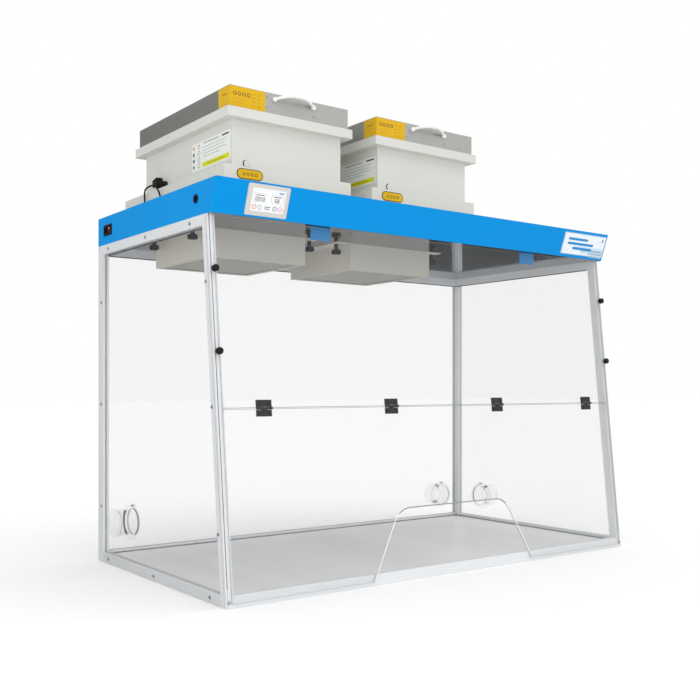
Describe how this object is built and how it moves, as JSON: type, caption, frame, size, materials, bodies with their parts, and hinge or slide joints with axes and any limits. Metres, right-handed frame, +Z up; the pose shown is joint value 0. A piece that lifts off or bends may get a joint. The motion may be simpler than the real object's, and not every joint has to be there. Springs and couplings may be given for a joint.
{
  "type": "filtering fume enclosure",
  "caption": "Free-standing ductless fume enclosure: clear-walled chamber with a hinged front flap and arm opening under a blue header that carries fan and filter columns.",
  "frame": {"origin": "centre of the footprint, at the underside of the worktop support where it stands on the bench", "axes": "+X to the right along the front, +Y from the front to the back, +Z up"},
  "size_m": [1.597, 0.8548, 1.307],
  "materials": {
    "anodised_frame": "satin",
    "stainless_worktop": "satin",
    "polished_stainless": "polished",
    "clear_panel": "gloss",
    "clear_port": "gloss",
    "black_plastic": "satin",
    "black_rubber": "matte",
    "lead_rubber": "satin",
    "steel": "satin",
    "blue_paint": "satin",
    "white_paint": "satin",
    "grey_plastic": "satin",
    "screen": "gloss",
    "plate": "gloss",
    "red_rocker": "gloss",
    "board": "satin",
    "cassette_metal": "satin",
    "carbon": "matte",
    "white_plastic": "gloss",
    "filter_fleece": "matte",
    "motor_metal": "satin",
    "lock_chrome": "polished"
  },
  "bodies": {
    "enclosure": {"posts_front": "anodised_frame", "posts_rear": "anodised_frame", "rails_bottom_long": "anodised_frame", "rails_bottom_side": "anodised_frame", "rails_top": "anodised_frame", "worktop": "stainless_worktop", "panel_left": "clear_panel", "panel_right": "clear_panel", "panel_rear": "clear_panel", "panel_front_upper": "clear_panel", "hinge_leaves_upper": "black_plastic", "hinge_pins": "steel", "header_casing": "blue_paint", "ceiling_plate": "polished_stainless", "front_tabs": "blue_paint", "display_bezel": "grey_plastic", "display_screen": "screen", "name_plate": "plate", "power_inlet": "black_plastic", "grommet": "black_rubber", "control_board": "board", "port_bodies": "clear_port", "frame_screws": "steel", "column_rims": "white_paint", "column_bodies": "white_paint", "column_plinths": "white_paint", "prefilter_boxes": "white_paint", "prefilter_pads": "filter_fleece", "fan_motors": "motor_metal", "fan_leads": "lead_rubber", "sensor_leads": "lead_rubber", "lead_connectors": "black_plastic"},
    "front_flap": {"panel_front_lower": "clear_panel", "hinge_leaves_lower": "black_plastic"},
    "rocker": {"rocker_switch": "red_rocker"},
    "cassette_1": {"cassette_1": "cassette_metal", "filter_bed_1": "carbon", "cassette_handle_1": "white_plastic"},
    "impeller_1": {"fan_impeller_1": "black_plastic"},
    "cam_lock_1": {"cam_lock_1": "lock_chrome"},
    "cassette_2": {"cassette_2": "cassette_metal", "filter_bed_2": "carbon", "cassette_handle_2": "white_plastic"},
    "impeller_2": {"fan_impeller_2": "black_plastic"},
    "cam_lock_2": {"cam_lock_2": "lock_chrome"},
    "shutter_left": {"port_shutter_left": "clear_port"},
    "shutter_right": {"port_shutter_right": "clear_port"},
    "shutter_rear": {"port_shutter_rear": "clear_port"},
    "panel_knob_left_lower": {"panel_knob_left_lower": "black_plastic"},
    "panel_knob_left_upper": {"panel_knob_left_upper": "black_plastic"},
    "panel_knob_right_lower": {"panel_knob_right_lower": "black_plastic"},
    "panel_knob_right_upper": {"panel_knob_right_upper": "black_plastic"},
    "star_knob_1": {"star_knob_1": "black_plastic"},
    "star_knob_2": {"star_knob_2": "black_plastic"},
    "star_knob_3": {"star_knob_3": "black_plastic"},
    "star_knob_4": {"star_knob_4": "black_plastic"},
    "star_knob_5": {"star_knob_5": "black_plastic"},
    "star_knob_6": {"star_knob_6": "black_plastic"},
    "star_knob_7": {"star_knob_7": "black_plastic"},
    "star_knob_8": {"star_knob_8": "black_plastic"}
  },
  "joints": [
    {"name": "flap_hinge", "type": "hinge", "parent": "enclosure", "child": "front_flap", "pos_m": [0, -0.36156, 0.48], "axis": [-1, 0, 0], "range_deg": [0, 170]},
    {"name": "rocker_tilt", "type": "hinge", "parent": "enclosure", "child": "rocker", "pos_m": [-0.745, 0.311, 1.006], "axis": [0, 1, 0], "range_deg": [0, 14]},
    {"name": "panel_knob_turn_left_lower", "type": "hinge", "parent": "enclosure", "child": "panel_knob_left_lower", "pos_m": [-0.74, -0.33733, 0.62], "axis": [0, -0.9948, 0.1022], "continuous": true},
    {"name": "panel_knob_turn_left_upper", "type": "hinge", "parent": "enclosure", "child": "panel_knob_left_upper", "pos_m": [-0.74, -0.31627, 0.825], "axis": [0, -0.9948, 0.1022], "continuous": true},
    {"name": "panel_knob_turn_right_lower", "type": "hinge", "parent": "enclosure", "child": "panel_knob_right_lower", "pos_m": [0.74, -0.33733, 0.62], "axis": [0, -0.9948, 0.1022], "continuous": true},
    {"name": "panel_knob_turn_right_upper", "type": "hinge", "parent": "enclosure", "child": "panel_knob_right_upper", "pos_m": [0.74, -0.31627, 0.825], "axis": [0, -0.9948, 0.1022], "continuous": true},
    {"name": "star_knob_turn_1", "type": "hinge", "parent": "enclosure", "child": "star_knob_1", "pos_m": [-0.683, -0.095, 0.94], "axis": [0, 0, 1], "continuous": true},
    {"name": "star_knob_turn_2", "type": "hinge", "parent": "enclosure", "child": "star_knob_2", "pos_m": [-0.683, 0.145, 0.94], "axis": [0, 0, 1], "continuous": true},
    {"name": "star_knob_turn_3", "type": "hinge", "parent": "enclosure", "child": "star_knob_3", "pos_m": [-0.303, -0.095, 0.94], "axis": [0, 0, 1], "continuous": true},
    {"name": "star_knob_turn_4", "type": "hinge", "parent": "enclosure", "child": "star_knob_4", "pos_m": [-0.303, 0.145, 0.94], "axis": [0, 0, 1], "continuous": true},
    {"name": "star_knob_turn_5", "type": "hinge", "parent": "enclosure", "child": "star_knob_5", "pos_m": [-0.2054, -0.095, 0.94], "axis": [0, 0, 1], "continuous": true},
    {"name": "star_knob_turn_6", "type": "hinge", "parent": "enclosure", "child": "star_knob_6", "pos_m": [-0.2054, 0.145, 0.94], "axis": [0, 0, 1], "continuous": true},
    {"name": "star_knob_turn_7", "type": "hinge", "parent": "enclosure", "child": "star_knob_7", "pos_m": [0.1746, -0.095, 0.94], "axis": [0, 0, 1], "continuous": true},
    {"name": "star_knob_turn_8", "type": "hinge", "parent": "enclosure", "child": "star_knob_8", "pos_m": [0.1746, 0.145, 0.94], "axis": [0, 0, 1], "continuous": true},
    {"name": "shutter_swing_left", "type": "hinge", "parent": "enclosure", "child": "shutter_left", "pos_m": [-0.7375, 0.166, 0.191], "axis": [-1, 0, 0], "range_deg": [0, 100]},
    {"name": "shutter_swing_right", "type": "hinge", "parent": "enclosure", "child": "shutter_right", "pos_m": [0.7375, 0.254, 0.156], "axis": [-1, 0, 0], "range_deg": [0, 100]},
    {"name": "shutter_swing_rear", "type": "hinge", "parent": "enclosure", "child": "shutter_rear", "pos_m": [0.662, 0.3885, 0.153], "axis": [0, 1, 0], "range_deg": [0, 100]},
    {"name": "cassette_lift_1", "type": "slide", "parent": "enclosure", "child": "cassette_1", "axis": [0, 0, 1], "range_m": [0, 0.15]},
    {"name": "impeller_spin_1", "type": "hinge", "parent": "enclosure", "child": "impeller_1", "pos_m": [-0.481, 0.003, 1.14], "axis": [0, 0, 1], "continuous": true},
    {"name": "cam_lock_turn_1", "type": "hinge", "parent": "enclosure", "child": "cam_lock_1", "pos_m": [-0.613, -0.2585, 1.114], "axis": [0, -1, 0], "range_deg": [0, 90]},
    {"name": "cassette_lift_2", "type": "slide", "parent": "enclosure", "child": "cassette_2", "axis": [0, 0, 1], "range_m": [0, 0.15]},
    {"name": "impeller_spin_2", "type": "hinge", "parent": "enclosure", "child": "impeller_2", "pos_m": [-0.0034, 0.003, 1.14], "axis": [0, 0, 1], "continuous": true},
    {"name": "cam_lock_turn_2", "type": "hinge", "parent": "enclosure", "child": "cam_lock_2", "pos_m": [-0.1354, -0.2585, 1.114], "axis": [0, -1, 0], "range_deg": [0, 90]}
  ]
}
